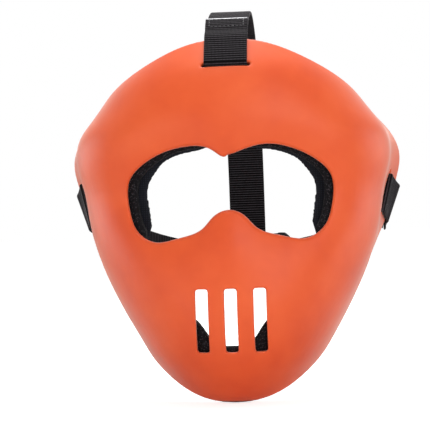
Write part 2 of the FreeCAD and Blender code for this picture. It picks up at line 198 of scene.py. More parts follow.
def closedCellFoam():
    # Black EVA foam, die-cut: dull, with open cells on the cut faces that catch the light as pale specks
    look = {"body": "#1a181b", "cell": "#565256", "pit": "#0d0c0e", "cellSize": 1.0 * mm}
    material, tree, shader = startMaterial("closedCellFoam", {
        "Roughness": 0.85, "IOR": 1.45, "Specular IOR Level": 0.15})
    place = addNode(tree, "ShaderNodeTexCoord").outputs["Object"]
    cells = addNode(tree, "ShaderNodeTexVoronoi", {"Scale": 1 / look["cellSize"]}, {"Vector": place})
    tone = rampStops(addNode(tree, "ShaderNodeValToRGB", links={"Fac": cells.outputs["Distance"]}),
                     (0.12, look["cell"]), (0.3, look["body"]), (0.75, look["pit"]))
    tree.links.new(tone.outputs["Color"], shader.inputs["Base Color"])
    bump = addNode(tree, "ShaderNodeBump", {"Strength": 0.6, "Distance": 0.25 * mm},
                   {"Height": cells.outputs["Distance"]})
    tree.links.new(bump.outputs["Normal"], shader.inputs["Normal"])
    return material


def knittedLining():
    # Brushed nylon jersey laminated to the foam: smooth, bluish black, with fine wales and a soft sheen
    look = {
        "body": "#17181f", "ridge": "#2c2f3a",
        "wale": 1.3 * mm,  # real wales are 0.5 mm, too fine to show
    }
    material, tree, shader = startMaterial("knittedLining", {
        "Roughness": 0.7, "Specular IOR Level": 0.2, "Sheen Weight": 0.2, "Sheen Roughness": 0.35,
        "Sheen Tint": linear("#8088a0")})
    place = addNode(tree, "ShaderNodeTexCoord").outputs["Object"]
    wales = addNode(tree, "ShaderNodeTexWave", {"Scale": bandScale(look["wale"]), "Distortion": 1.0},
                    {"Vector": place}, bands_direction="X")
    courses = addNode(tree, "ShaderNodeTexWave", {"Scale": bandScale(look["wale"])}, {"Vector": place},
                      bands_direction="Z")
    knit = addNode(tree, "ShaderNodeMath", links={0: wales.outputs["Fac"], 1: courses.outputs["Fac"]},
                   operation="MULTIPLY")
    tone = rampStops(addNode(tree, "ShaderNodeValToRGB", links={"Fac": knit.outputs["Value"]}),
                     (0.1, look["body"]), (0.9, look["ridge"]))
    tree.links.new(tone.outputs["Color"], shader.inputs["Base Color"])
    bump = addNode(tree, "ShaderNodeBump", {"Strength": 0.5, "Distance": 0.15 * mm},
                   {"Height": knit.outputs["Value"]})
    tree.links.new(bump.outputs["Normal"], shader.inputs["Normal"])
    return material


def wovenElastic():
    # Woven polyester elastic: ribs across it (modelled), yarns that cross them, dark with a dusty sheen
    look = {
        # the grooves are painted darker as painted shade, and the rib crests lighter as a painted highlight
        "grooveShade": "#040304", "yarn": "#0e0c0e", "high": "#4a464a",
        "yarnPitch": 0.8 * mm,  # the warp yarns are 0.4 mm apart, drawn twice as wide
        "ribPitch": 1.65 * mm,
        "ribShare": 1.6,  # how much the ribs outweigh the yarns that cross them
        "fuzz": 0.35,
        "fuzzSize": 0.6 * mm,
    }
    material, tree, shader = startMaterial("wovenElastic", {
        "Roughness": 0.75, "Specular IOR Level": 0.06, "Sheen Weight": 0.7, "Sheen Roughness": 0.13,
        "Sheen Tint": linear("#c8c4c6")})
    mapUv = addNode(tree, "ShaderNodeUVMap", uv_map="length")
    split = addNode(tree, "ShaderNodeSeparateXYZ", links={"Vector": mapUv.outputs["UV"]})
    waves = []
    for axis, pitch in (("X", look["yarnPitch"]), ("Y", look["ribPitch"])):
        turn = addNode(tree, "ShaderNodeMath", {1: 2 * math.pi / pitch}, {0: split.outputs[axis]},
                       operation="MULTIPLY")
        wave = addNode(tree, "ShaderNodeMath", links={0: turn.outputs["Value"]}, operation="COSINE")
        waves.append(wave.outputs["Value"])
    weave = addNode(tree, "ShaderNodeMath", links={0: waves[0], 1: waves[1]}, operation="MULTIPLY")
    height = addNode(tree, "ShaderNodeMath", {1: look["ribShare"]}, {0: waves[1], 2: weave.outputs["Value"]},
                     operation="MULTIPLY_ADD")
    highest = look["ribShare"] + 1
    scaled = addNode(tree, "ShaderNodeMapRange", {"From Min": -highest, "From Max": highest},
                     {"Value": height.outputs["Value"]})
    fuzz = addNode(tree, "ShaderNodeTexNoise", {"Scale": 1 / look["fuzzSize"], "Detail": 3.0},
                   {"Vector": addNode(tree, "ShaderNodeTexCoord").outputs["Object"]})
    mixed = addNode(tree, "ShaderNodeMath", {1: look["fuzz"]},
                    {0: fuzz.outputs["Fac"], 2: scaled.outputs["Result"]}, operation="MULTIPLY_ADD")
    # colour follows the weave's height: painted shade in the grooves, a painted highlight on the rib crests
    tone = rampStops(addNode(tree, "ShaderNodeValToRGB", links={"Fac": mixed.outputs["Value"]}),
                     (0.3, look["grooveShade"]), (0.74, look["yarn"]), (1.05, look["high"]))
    tree.links.new(tone.outputs["Color"], shader.inputs["Base Color"])
    bump = addNode(tree, "ShaderNodeBump", {"Strength": 0.7, "Distance": 0.2 * mm},
                   {"Height": mixed.outputs["Value"]})
    tree.links.new(bump.outputs["Normal"], shader.inputs["Normal"])
    return material


def heatSealedEnd():
    # The hot knife's cut: polyester melted to a hard shiny bead, greyer than the weave
    look = {"body": "#7b797f", "shine": "#b7b5ba", "lump": 1.2 * mm}
    material, tree, shader = startMaterial("heatSealedEnd", {"Roughness": 0.25, "IOR": 1.57})
    place = addNode(tree, "ShaderNodeTexCoord").outputs["Object"]
    lumps = addNode(tree, "ShaderNodeTexNoise", {"Scale": 1 / look["lump"], "Detail": 2.0},
                    {"Vector": place})
    tone = rampStops(addNode(tree, "ShaderNodeValToRGB", links={"Fac": lumps.outputs["Fac"]}),
                     (0.35, look["body"]), (0.65, look["shine"]))
    tree.links.new(tone.outputs["Color"], shader.inputs["Base Color"])
    bump = addNode(tree, "ShaderNodeBump", {"Strength": 0.5, "Distance": 0.2 * mm},
                   {"Height": lumps.outputs["Fac"]})
    tree.links.new(bump.outputs["Normal"], shader.inputs["Normal"])
    return material


def hookAndLoop(name, look):
    # Nylon hook-and-loop tape: one side matted loops, the other close rows of stiff hooks
    material, tree, shader = startMaterial(name, {
        "Roughness": look["roughness"], "Specular IOR Level": 0.2, "Sheen Weight": look["sheen"],
        "Sheen Roughness": 0.4})
    place = addNode(tree, "ShaderNodeTexCoord").outputs["Object"]
    pile = addNode(tree, "ShaderNodeTexVoronoi",
                   {"Scale": 1 / look["pitch"], "Randomness": look["disorder"]}, {"Vector": place})
    tone = rampStops(addNode(tree, "ShaderNodeValToRGB", links={"Fac": pile.outputs["Distance"]}),
                     (0.1, look["tip"]), (0.6, look["root"]))
    tree.links.new(tone.outputs["Color"], shader.inputs["Base Color"])
    bump = addNode(tree, "ShaderNodeBump", {"Strength": 0.8, "Distance": 0.3 * mm},
                   {"Height": pile.outputs["Distance"]})
    tree.links.new(bump.outputs["Normal"], shader.inputs["Normal"])
    return material


def padCloth():
    # Plain-weave polyester over the rear pad's foam: matt, with the weave's small squares
    look = {"low": "#151417", "high": "#2e2d33", "thread": 1.1 * mm}  # real threads are 0.4 mm apart
    material, tree, shader = startMaterial("padCloth", {
        "Roughness": 0.8, "Specular IOR Level": 0.2, "Sheen Weight": 0.2, "Sheen Roughness": 0.35,
        "Sheen Tint": linear("#9a98a4")})
    place = addNode(tree, "ShaderNodeTexCoord").outputs["Object"]
    weft = addNode(tree, "ShaderNodeTexWave", {"Scale": bandScale(look["thread"]), "Distortion": 0.4},
                   {"Vector": place}, bands_direction="X")
    warp = addNode(tree, "ShaderNodeTexWave", {"Scale": bandScale(look["thread"]), "Distortion": 0.4},
                   {"Vector": place}, bands_direction="Z")
    weave = addNode(tree, "ShaderNodeMath", links={0: weft.outputs["Fac"], 1: warp.outputs["Fac"]},
                    operation="MULTIPLY")
    tone = rampStops(addNode(tree, "ShaderNodeValToRGB", links={"Fac": weave.outputs["Value"]}),
                     (0.0, look["low"]), (0.8, look["high"]))
    tree.links.new(tone.outputs["Color"], shader.inputs["Base Color"])
    bump = addNode(tree, "ShaderNodeBump", {"Strength": 0.5, "Distance": 0.2 * mm},
                   {"Height": weave.outputs["Value"]})
    tree.links.new(bump.outputs["Normal"], shader.inputs["Normal"])
    return material


def bondedThread():
    # Bonded polyester sewing thread: twisted, a little shinier than the webbing
    look = {"dark": "#111012", "bright": "#29272b", "twist": 0.5 * mm}
    material, tree, shader = startMaterial("bondedThread", {"Roughness": 0.45, "Sheen Weight": 0.2})
    place = addNode(tree, "ShaderNodeTexCoord").outputs["Object"]
    twist = addNode(tree, "ShaderNodeTexWave", {"Scale": bandScale(look["twist"]), "Distortion": 1.0},
                    {"Vector": place}, bands_direction="DIAGONAL")
    tone = rampStops(addNode(tree, "ShaderNodeValToRGB", links={"Fac": twist.outputs["Fac"]}),
                     (0.2, look["dark"]), (0.9, look["bright"]))
    tree.links.new(tone.outputs["Color"], shader.inputs["Base Color"])
    return material


shellMaterial = softTouchPlastic()
foamMaterial = closedCellFoam()
liningMaterial = knittedLining()
webbingMaterial = wovenElastic()
sealedMaterial = heatSealedEnd()
loopMaterial = hookAndLoop("nylonLoopPile", {
    "tip": "#2e2d31", "root": "#111013", "pitch": 0.9 * mm, "disorder": 1.0,
    "roughness": 0.9, "sheen": 0.5})
hookMaterial = hookAndLoop("nylonHookTape", {
    "tip": "#37363a", "root": "#0e0d10", "pitch": 1.1 * mm, "disorder": 0.15,
    "roughness": 0.5, "sheen": 0.0})
padClothMaterial = padCloth()
threadMaterial = bondedThread()
print("materials made")


# mesh tools

def newPiece(name, mesh, *materials):
    piece = bpy.data.objects.new(name, mesh)
    bpy.context.scene.collection.objects.link(piece)
    mesh.materials.clear()
    for material in materials:
        mesh.materials.append(material)
    return piece


def smoothShade(mesh):
    mesh.polygons.foreach_set("use_smooth", [True] * len(mesh.polygons))
    mesh.update()


def points(mesh):
    flat = np.zeros(len(mesh.vertices) * 3)
    mesh.vertices.foreach_get("co", flat)
    return flat.reshape(-1, 3)


def normals(mesh):
    flat = np.zeros(len(mesh.vertices) * 3)
    mesh.vertex_normals.foreach_get("vector", flat)
    return flat.reshape(-1, 3)


def setPoints(mesh, places):
    mesh.vertices.foreach_set("co", places.astype(np.float32).ravel())
    mesh.update()


def addModifier(piece, kind, **settings):
    modifier = piece.modifiers.new(kind.title(), kind)
    for key, value in settings.items():
        setattr(modifier, key, value)
    return modifier


def bake(piece):
    # the modifiers' result becomes the piece's own mesh
    evaluated = piece.evaluated_get(bpy.context.evaluated_depsgraph_get())
    mesh = bpy.data.meshes.new_from_object(evaluated)
    piece.modifiers.clear()
    piece.data = mesh
    return piece


def softened(nodeName, name, voxel, smoothing, *materials, share=None):
    # a node's form with even faces and its sharp edges rounded, less where the share is small
    piece = newPiece(name, nodes[nodeName].data.copy(), *materials)
    addModifier(piece, "REMESH", mode="VOXEL", voxel_size=voxel, use_smooth_shade=True)
    bake(piece)
    smooth = addModifier(piece, "SMOOTH", factor=0.5, iterations=smoothing)
    if share:
        group = piece.vertex_groups.new(name="softness")
        weights = share(points(piece.data))
        for weight in np.unique(weights):
            group.add(np.flatnonzero(weights == weight).tolist(), float(weight), "REPLACE")
        smooth.vertex_group = group.name
    bake(piece)
    piece.vertex_groups.clear()
    piece.data.materials.clear()
    for material in materials:
        piece.data.materials.append(material)
    smoothShade(piece.data)
    return piece


def unit(vector):
    return np.array(vector, float) / np.linalg.norm(vector)


closureReach = 16 * mm  # how near a fold the strap's own end lies


def closureFrame(side):
    # the fold at a slot: its place, the webbing's crosswise, lengthwise and outward directions
    joint = joints[side + "_tab_hinge"]
    fold = np.array(joint["pos_m"], float)
    across = unit(joint["axis"])
    tail = points(nodes[side + "_strap_tail"].data)
    ahead = tail.mean(axis=0) - fold
    ahead = unit(ahead - across * (ahead @ across))
    outward = unit(np.cross(across, ahead))
    strap = points(nodes[side + "_strap"].data)
    near = strap[np.linalg.norm(strap - fold, axis=1) < closureReach]
    if outward @ (near.mean(axis=0) - fold) > 0:
        outward = -outward
    return fold, across, ahead, outward


def pushUp(mesh, form):
    # lifts what lies near the top of the eye opening: with a steepness, a V becomes a round
    places = points(mesh)
    x, y, z = places.T
    leg = form["steepness"] * np.abs(x)
    lift = np.sqrt(leg**2 + form["lift"] ** 2) - leg
    near = np.exp(-(x / form["width"]) ** 4 - ((z - form["height"]) / form["reach"]) ** 2)
    places[:, 2] += lift * near * np.clip((form["rear"] - y) / form["ease"], 0, 1)
    setPoints(mesh, places)


# shell

slotPinch = {
    "from": 12.7 * mm,  # half the webbing's width and a little more
    "to": 20 * mm,  # past the slot's end
    "blend": 0.5 * mm,
    "middle": 0.4 * mm,  # of the slot, ahead of the fold
    "height": 3.0 * mm,  # how far above and below it the wall moves
    "inner": 5.2 * mm,  # how far inside the fold it closes up most
    "depth": 1.9 * mm,
    "share": 0.92,  # 1 shuts it
}
shellForm = {
    "voxel": 0.75 * mm,
    "smoothing": 5,
    "notch": {"steepness": 0.54, "width": 16 * mm, "height": 19 * mm, "reach": 9 * mm, "rear": -30 * mm,
              "ease": 5 * mm, "lift": 2.4 * mm},
    "cutEdges": {"softness": 0.25, "strapReach": 18 * mm, "mouthHalfWidth": 24 * mm,
                 "mouthHeight": -71.6 * mm, "mouthHalfHeight": 21 * mm},
}


def slotSoftness(places):
    # the slots are cut after moulding, so their edges are crisper than the rims
    form = shellForm["cutEdges"]
    share = np.ones(len(places))
    for joint in joints.values():
        away = np.linalg.norm(places - np.array(joint["pos_m"]), axis=1)
        share[away < form["strapReach"]] = form["softness"]
    across, above = np.abs(places[:, 0]), np.abs(places[:, 2] - form["mouthHeight"])
    share[(across < form["mouthHalfWidth"]) & (above < form["mouthHalfHeight"])] = form["softness"]
    return share


def pinchSlots(mesh, form):
    # past the webbing's edges a slot closes up on its inner side, so that no daylight shows beside it
    places = points(mesh)
    for side in ("crown", "left", "right"):
        fold, across, ahead, outward = closureFrame(side)
        away = places - fold
        sideways, lengthwise, depth = np.abs(away @ across), away @ ahead - form["middle"], away @ outward
        end = np.clip((sideways - form["from"]) / form["blend"], 0, 1) * (sideways < form["to"])
        near = np.exp(-(lengthwise / form["height"]) ** 4 - ((depth + form["inner"]) / form["depth"]) ** 4)
        places -= np.outer(lengthwise * end * near * form["share"], ahead)
    setPoints(mesh, places)


def makeShell(form):
    piece = softened("shell", "mouldedShell", form["voxel"], form["smoothing"], shellMaterial,
                     share=slotSoftness)
    pushUp(piece.data, form["notch"])
    pinchSlots(piece.data, slotPinch)
    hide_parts("shell")
    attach(piece, "mask")


makeShell(shellForm)
print("shell made")


# foam pads and their linings

notchTuck = {"steepness": 0.1, "width": 15 * mm, "height": 20 * mm, "reach": 10 * mm, "rear": -30 * mm,
             "ease": 5 * mm, "lift": 5.5 * mm}
topTuck = {"steepness": 0.0, "width": 44 * mm, "height": 20 * mm, "reach": 11 * mm, "rear": -30 * mm,
           "ease": 5 * mm, "lift": 1.2 * mm}
padForm = {"voxel": 1.4 * mm, "smoothing": 3, "liningVoxel": 0.65 * mm, "liningSmoothing": 7}
liningEdge = {"rim": 50 * mm, "reach": 9 * mm, "height": 22 * mm, "rear": -8 * mm, "spread": 4.2 * mm}


def spreadEdge(mesh, form):
    # the lining's free edge stands out past the foam at the eye opening's corners
    places = points(mesh)
    x, y, z = places.T
    near = np.exp(-((np.abs(x) - form["rim"]) / form["reach"]) ** 2 - (z / form["height"]) ** 4)
    places[:, 0] -= np.sign(x) * form["spread"] * near * (y < form["rear"])
    setPoints(mesh, places)


def tuck(mesh):
    # behind the notch no foam shows, and above the eyes only a thin edge of it
    pushUp(mesh, notchTuck)
    pushUp(mesh, topTuck)


def makePad(name, form):
    foam = softened(name + "_pad", name + "Foam", form["voxel"], form["smoothing"], foamMaterial)
    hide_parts(name + "_pad")
    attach(foam, "mask")
    tuck(foam.data)
    lining = softened(name + "_lining", name + "Lining", form["liningVoxel"], form["liningSmoothing"],
                      liningMaterial)
    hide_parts(name + "_lining")
    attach(lining, "mask")
    tuck(lining.data)
    if name == "brow":
        spreadEdge(lining.data, liningEdge)


for padName in ("brow", "left_cheek", "right_cheek", "chin"):
    makePad(padName, padForm)
print("pads made")


# webbing: the straps and their tails follow the middles of their solids

webbingForm = {
    "width": 25.0 * mm,
    "thickness": 1.5 * mm,
    "ribPitch": 1.65 * mm,  # counted in the photo on the crown strap
    "ribDepth": 0.2 * mm,
    "rowsPerRib": 4,
    "step": 2.0 * mm,  # between the cuts through a solid
    "fine": 0.2 * mm,
    "sealLength": 0.9 * mm,
    "slotLean": 0.4 * mm,  # the pull draws the webbing against the slot's edge
    "foldRounds": 10,  # more is a rounder fold
    "searchShare": 0.8,  # of the width, how far a cut looks for the band
    "fullShare": 0.97,  # of the width: a narrower cut is past the band's end
    "flatShare": 2.4,  # of the thickness: a thicker cut is past the band's end
    "spans": 9,  # points across one face
    "selvedgeRib": 0.6,  # how much a rib shows on the selvedge
    "ribNip": 0.006,  # how much narrower the band is between ribs
    "sealNip": 0.35,  # how much thinner it is where it is sealed
    "endSlice": 1.5 * mm,  # what counts as the sewn end of a strap
    "rearLean": 0.2,  # the crown strap leaves the rear pad leaning back
    "stubEnd": 1.9 * mm,  # the strap ends this far inside the fold
    "firstCut": 2.2 * mm,  # where the walk along a tail starts, ahead of the fold
    "tailRoot": 4.0 * mm,  # how far inside the fold a tail starts
    "bendDepth": 2.4 * mm,  # a tail bends from here inside the fold
    "bendAhead": 0.8 * mm,  # to here outside it
    "bendOut": 0.6 * mm,
}


def edgeEnds(node):
    mesh = node.data
    corners = points(mesh)
    ends = np.zeros(len(mesh.edges) * 2, int)
    mesh.edges.foreach_get("vertices", ends)
    return corners[ends[::2]], corners[ends[1::2]]


def cutThrough(edges, place, direction, form):
    # where a plane meets a band: its middle and crosswise direction there, or nothing past its ends
    starts, finishes = edges
    before = (starts - place) @ direction
    after = (finishes - place) @ direction
    crossing = before * after < 0
    share = (before[crossing] / (before[crossing] - after[crossing]))[:, None]
    hits = starts[crossing] * (1 - share) + finishes[crossing] * share
    hits = hits[np.linalg.norm(hits - place, axis=1) < form["searchShare"] * form["width"]]
    if len(hits) < 4:
        return None
    across = np.linalg.svd(hits - hits.mean(axis=0), full_matrices=False)[2][0]
    through = np.cross(direction, across)
    sideways, upwards = (hits - place) @ across, (hits - place) @ through
    narrow = np.ptp(sideways) < form["fullShare"] * form["width"]
    if narrow or np.ptp(upwards) > form["flatShare"] * form["thickness"]:
        return None
    middle = place + across * (sideways.min() + sideways.max()) / 2
    return middle + through * (upwards.min() + upwards.max()) / 2, across


def followBand(node, place, direction, form):
    # walks along a band from a point near its middle, until it ends or turns into its slot
    route, crosswise = [], []
    edges = edgeEnds(node)
    place = np.array(place, float)
    direction = unit(direction)
    while True:
        found = cutThrough(edges, place, direction, form)
        if found is None:
            return np.array(route), np.array(crosswise)
        middle, across = found
        if crosswise and across @ crosswise[-1] < 0:
            across = -across
        if route:
            direction = unit(middle - route[-1])
        route.append(middle)
        crosswise.append(across)
        place = middle + direction * form["step"]


def evenly(route, step):
    # even distances along a line, and how far along it each of its points lies
    runs = np.linalg.norm(np.diff(route, axis=0), axis=1)
    along = np.concatenate([[0], np.cumsum(runs)])
    count = max(2, int(round(along[-1] / step)) + 1)
    wanted = np.linspace(0, along[-1], count)
    return wanted, along


def resampled(rows, along, wanted):
    return np.stack([np.interp(wanted, along, rows[:, axis]) for axis in range(3)], axis=1)


def easedLine(route, crosswise, step, rounds):
    # fine even steps along a line, with its corners rounded and its ends kept
    wanted, along = evenly(route, step)
    line = resampled(route, along, wanted)
    across = resampled(crosswise, along, wanted)
    for _ in range(rounds):
        line[1:-1] = (line[:-2] + 2 * line[1:-1] + line[2:]) / 4
        across[1:-1] = (across[:-2] + 2 * across[1:-1] + across[2:]) / 4
    return line, across / np.linalg.norm(across, axis=1)[:, None]


def ribbonFrame(line, across, step):
    # even steps with unit crosswise and outward directions
    wanted, along = evenly(line, step)
    middle = resampled(line, along, wanted)
    cross = resampled(across, along, wanted)
    ahead = np.gradient(middle, axis=0)
    ahead /= np.linalg.norm(ahead, axis=1)[:, None]
    cross -= ahead * np.sum(cross * ahead, axis=1)[:, None]
    cross /= np.linalg.norm(cross, axis=1)[:, None]
    return {"along": wanted, "middle": middle, "across": cross, "outward": np.cross(ahead, cross)}


def webbingProfile(form):
    # round the band's section from one selvedge: crosswise share, height share, and how much a rib shows
    lip = 1 - form["thickness"] / form["width"]
    top = [(lip * span, 1.0, 1.0) for span in np.linspace(-1, 1, form["spans"])]
    side = []
    for degrees in (45, 0, -45):
        turn = math.radians(degrees)
        side.append((lip + (1 - lip) * math.cos(turn), math.sin(turn), form["selvedgeRib"]))
    bottom = [(-x, -h, rib) for x, h, rib in top]
    other = [(-x, -h, rib) for x, h, rib in side]
    return np.array(top + side + bottom + other)


def weaveBand(name, line, across, form, sealed, *materials):
    # a ribbed band along a line; the last faces are the sealed end where it has one
    ribbon = ribbonFrame(line, across, form["ribPitch"] / form["rowsPerRib"])
    profile = webbingProfile(form)
    phase = np.cos(2 * math.pi * ribbon["along"] / form["ribPitch"])
    rowCount, ringCount = len(ribbon["along"]), len(profile)
    half = form["thickness"] / 2
    lift = half - form["ribDepth"] * (0.5 - 0.5 * phase)[:, None] * profile[None, :, 2]
    nip = 1 - form["ribNip"] * (0.5 - 0.5 * phase)
    if sealed:
        left = ribbon["along"][-1] - ribbon["along"]
        melted = np.clip(1 - left / form["sealLength"], 0, 1)
        lift = lift * (1 - form["sealNip"] * melted**2)[:, None]
    sideways = profile[None, :, 0] * nip[:, None] * form["width"] / 2
    places = (ribbon["middle"][:, None, :] + ribbon["across"][:, None, :] * sideways[:, :, None]
              + ribbon["outward"][:, None, :] * (lift * profile[None, :, 1])[:, :, None])
    faces, uvs, sealFaces = [], [], []
    around = np.concatenate([[0], np.cumsum(np.linalg.norm(np.diff(places[0], axis=0), axis=1))])
    for row in range(rowCount - 1):
        for ring in range(ringCount):
            following = (ring + 1) % ringCount
            faces.append((row * ringCount + ring, row * ringCount + following,
                          (row + 1) * ringCount + following, (row + 1) * ringCount + ring))
            nextAround = around[following] if following else around[-1]
            low, high = ribbon["along"][row], ribbon["along"][row + 1]
            uvs += [(around[ring], low), (nextAround, low), (nextAround, high), (around[ring], high)]
            sealFaces.append(sealed and high > ribbon["along"][-1] - form["sealLength"])
    for row, order in ((0, range(ringCount - 1, -1, -1)), (rowCount - 1, range(ringCount))):
        faces.append(tuple(row * ringCount + ring for ring in order))
        uvs += [(around[ring], ribbon["along"][row]) for ring in order]
        sealFaces.append(sealed and row > 0)
    mesh = bpy.data.meshes.new(name)
    mesh.from_pydata(places.reshape(-1, 3).tolist(), [], faces)
    layer = mesh.uv_layers.new(name="length")
    layer.data.foreach_set("uv", np.array(uvs).ravel())
    smoothShade(mesh)
    piece = newPiece(name, mesh, *materials)
    mesh.polygons.foreach_set("material_index", [int(bool(seal)) for seal in sealFaces])
    return piece, ribbon


def strapStart(side, form):
    # the strap's sewn end at the back of the head, and the way from there
    strap = points(nodes[side + "_strap"].data)
    near = form["endSlice"]
    if side == "crown":
        end = strap[strap[:, 2] < strap[:, 2].min() + near]
        return end.mean(axis=0) + np.array([0, 0, near]), np.array([0, form["rearLean"], 1.0])
    away = 1 if side == "left" else -1
    reach = strap[:, 0] * away
    end = strap[reach < reach.min() + near]
    return end.mean(axis=0) + np.array([away * near, 0, 0]), np.array([away, 0, 0.0])


ribbons = {}


def makeStrap(side, form):
    fold, across, ahead, outward = closureFrame(side)
    place, direction = strapStart(side, form)
    route, crosswise = followBand(nodes[side + "_strap"], place, direction, form)
    # into the slot: level with the strap under the slot, then out to just short of the fold
    depth = (fold - route[-1]) @ outward
    edge = fold + ahead * form["slotLean"]
    corner = edge - outward * depth
    end = edge - outward * form["stubEnd"]
    sign = 1 if crosswise[-1] @ across > 0 else -1
    route = np.vstack([route, corner, end])
    crosswise = np.vstack([crosswise, across * sign, across * sign])
    line, cross = easedLine(route, crosswise, form["fine"], form["foldRounds"])
    piece, ribbon = weaveBand(side + "Strap", line, cross, form, False, webbingMaterial)
    ribbons[side + "Strap"] = ribbon
    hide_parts(side + "_strap")
    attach(piece, "mask")


def makeTail(side, form):
    fold, across, ahead, outward = closureFrame(side)
    place = fold + ahead * form["firstCut"]
    route, crosswise = followBand(nodes[side + "_strap_tail"], place, ahead, form)
    sign = 1 if crosswise[0] @ across > 0 else -1
    last = route[-1] + unit(route[-1] - route[-2]) * form["step"] / 2
    edge = fold + ahead * form["slotLean"]
    route = np.vstack([edge - outward * form["tailRoot"], edge, route, last])
    crosswise = np.vstack([across * sign, across * sign, crosswise, crosswise[-1]])
    line, cross = easedLine(route, crosswise, form["fine"], form["foldRounds"])
    piece, ribbon = weaveBand(side + "StrapTail", line, cross, form, True, webbingMaterial, sealedMaterial)
    ribbons[side + "StrapTail"] = ribbon
    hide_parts(side + "_strap_tail")
    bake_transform(piece)


for side in ("crown", "left", "right"):
    makeStrap(side, webbingForm)
    makeTail(side, webbingForm)
print("webbing woven")


# hook and loop patches

patchForm = {"voxel": 0.4 * mm, "smoothing": 2}


def makePatches(side, form):
    for kind, material, body in (("loop", loopMaterial, "mask"), ("hook", hookMaterial, side + "_tab")):
        patch = softened(f"{side}_{kind}_patch", side + kind.title() + "Patch", form["voxel"],
                         form["smoothing"], material)
        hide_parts(f"{side}_{kind}_patch")
        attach(patch, body)


for side in ("crown", "left", "right"):
    makePatches(side, patchForm)
print("patches made")


# rear pad

rearPadForm = {
    "voxel": 1.1 * mm, "smoothing": 4, "pressure": 4.0, "frames": 20,
    "cap": 1.4 * mm,  # how far the stuffing may swell it
    "width": 62 * mm, "height": 36 * mm, "corner": 8 * mm,
    "seamInset": 3.5 * mm, "seamDepth": 0.7 * mm, "seamWidth": 0.9 * mm,
    "strapMargin": 0.8 * mm, "easeWidth": 2 * mm,
    "outerFacing": 0.2, "innerFacing": -0.5,  # cosines that tell its outer and inner face
}


def swell(piece, form):
    # cloth pressure fills the pad out, no further than the cap
    rest = points(piece.data)
    cloth = addModifier(piece, "CLOTH")
    cloth.settings.use_pressure = True
    cloth.settings.uniform_pressure_force = form["pressure"]
    cloth.settings.effector_weights.gravity = 0
    cloth.point_cache.frame_end = form["frames"]
    for number in range(1, form["frames"] + 1):
        bpy.context.scene.frame_set(number)
    bake(piece)
    bpy.context.scene.frame_set(1)
    move = points(piece.data) - rest
    far = np.linalg.norm(move, axis=1)[:, None]
    return rest, move * np.minimum(1, form["cap"] / np.maximum(far, 1e-9))


def padGrid(places):
    # how far each place lies across the pad and up it, and which way the pad faces
    up = ribbons["leftStrap"]["across"][0]
    up = up * np.sign(up[2])
    outward = unit(np.array([0, 1, 0]) - up * up[1])
    middle = (places.min(axis=0) + places.max(axis=0)) / 2
    return (places - middle)[:, 0], (places - middle) @ up, outward


def fade(value, width):
    return np.clip(value / width, 0, 1)


def makeRearPad(form):
    piece = softened("rear_pad", "rearPad", form["voxel"], form["smoothing"], padClothMaterial)
    rest, move = swell(piece, form)
    sideways, upwards, outward = padGrid(rest)
    facing = normals(piece.data) @ outward
    # the straps lie flat on its outer face, and it swells only beside them
    strapHalf = webbingForm["width"] / 2 + form["strapMargin"]
    ease = form["easeWidth"]
    beside = fade(np.abs(upwards) - strapHalf, ease) * fade(np.abs(sideways) - strapHalf, ease)
    move = move * np.where(facing > form["outerFacing"], beside, 1)[:, None]
    beyond = np.stack([np.abs(sideways) - form["width"] / 2, np.abs(upwards) - form["height"] / 2], axis=1)
    fromCorner = np.linalg.norm(np.maximum(beyond + form["corner"], 0), axis=1) - form["corner"]
    seam = np.exp(-((fromCorner + form["seamInset"]) / form["seamWidth"]) ** 2) * form["seamDepth"]
    seam = seam * np.where(facing < form["innerFacing"], 1, 0)
    setPoints(piece.data, rest + move + outward * seam[:, None])
    smoothShade(piece.data)
    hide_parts("rear_pad")
    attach(piece, "mask")


makeRearPad(rearPadForm)
print("rear pad made")


# stitching

stitchForm = {
    "pitch": 2.6 * mm, "length": 1.9 * mm, "radius": 0.3 * mm, "sides": 8,
    "half": 10 * mm,  # from the band's middle to each long row
    "tailBox": (9.8 * mm, 2.6 * mm),  # before the tail's end
    "patchHalf": 3.6 * mm,
    "sideBox": (13.5 * mm, 26 * mm),  # along the side straps, from their sewn ends
    "crownBox": (3 * mm, 27 * mm),
    "rings": [(0.0, 0.25), (0.12, 0.75), (0.35, 1.0), (0.65, 1.0), (0.88, 0.75), (1.0, 0.25)],
}
headMiddle = np.array([0, 27 * mm, 0])


def onBand(ribbon, distance, sideways, lift):
    # a place on a band: along it from its start, across from its middle, out of its middle sheet
    spot = {key: np.array([np.interp(distance, ribbon["along"], ribbon[key][:, axis]) for axis in range(3)])
            for key in ("middle", "across", "outward")}
    away = np.sign(spot["outward"] @ (spot["middle"] - headMiddle))
    return spot["middle"] + spot["across"] * sideways + spot["outward"] * away * lift


def addStitch(corners, faces, start, end, form):
    # one thread float: a rounded sausage, its ends dipping into the cloth
    ahead = unit(end - start)
    side = unit(np.cross(ahead, start - headMiddle))
    over = np.cross(side, ahead)
    first = len(corners)
    for share, width in form["rings"]:
        dip = -form["radius"] * (1 - width)
        for index in range(form["sides"]):
            angle = 2 * math.pi * index / form["sides"]
            ring = side * math.cos(angle) + over * math.sin(angle)
            corners.append(start + (end - start) * share + ring * form["radius"] * width + over * dip)
    count = form["sides"]
    last = first + (len(form["rings"]) - 1) * count
    for ring in range(len(form["rings"]) - 1):
        for index in range(count):
            following = (index + 1) % count
            low, high = first + ring * count, first + (ring + 1) * count
            faces.append((low + index, low + following, high + following, high + index))
    faces.append(tuple(first + index for index in reversed(range(count))))
    faces.append(tuple(last + index for index in range(count)))


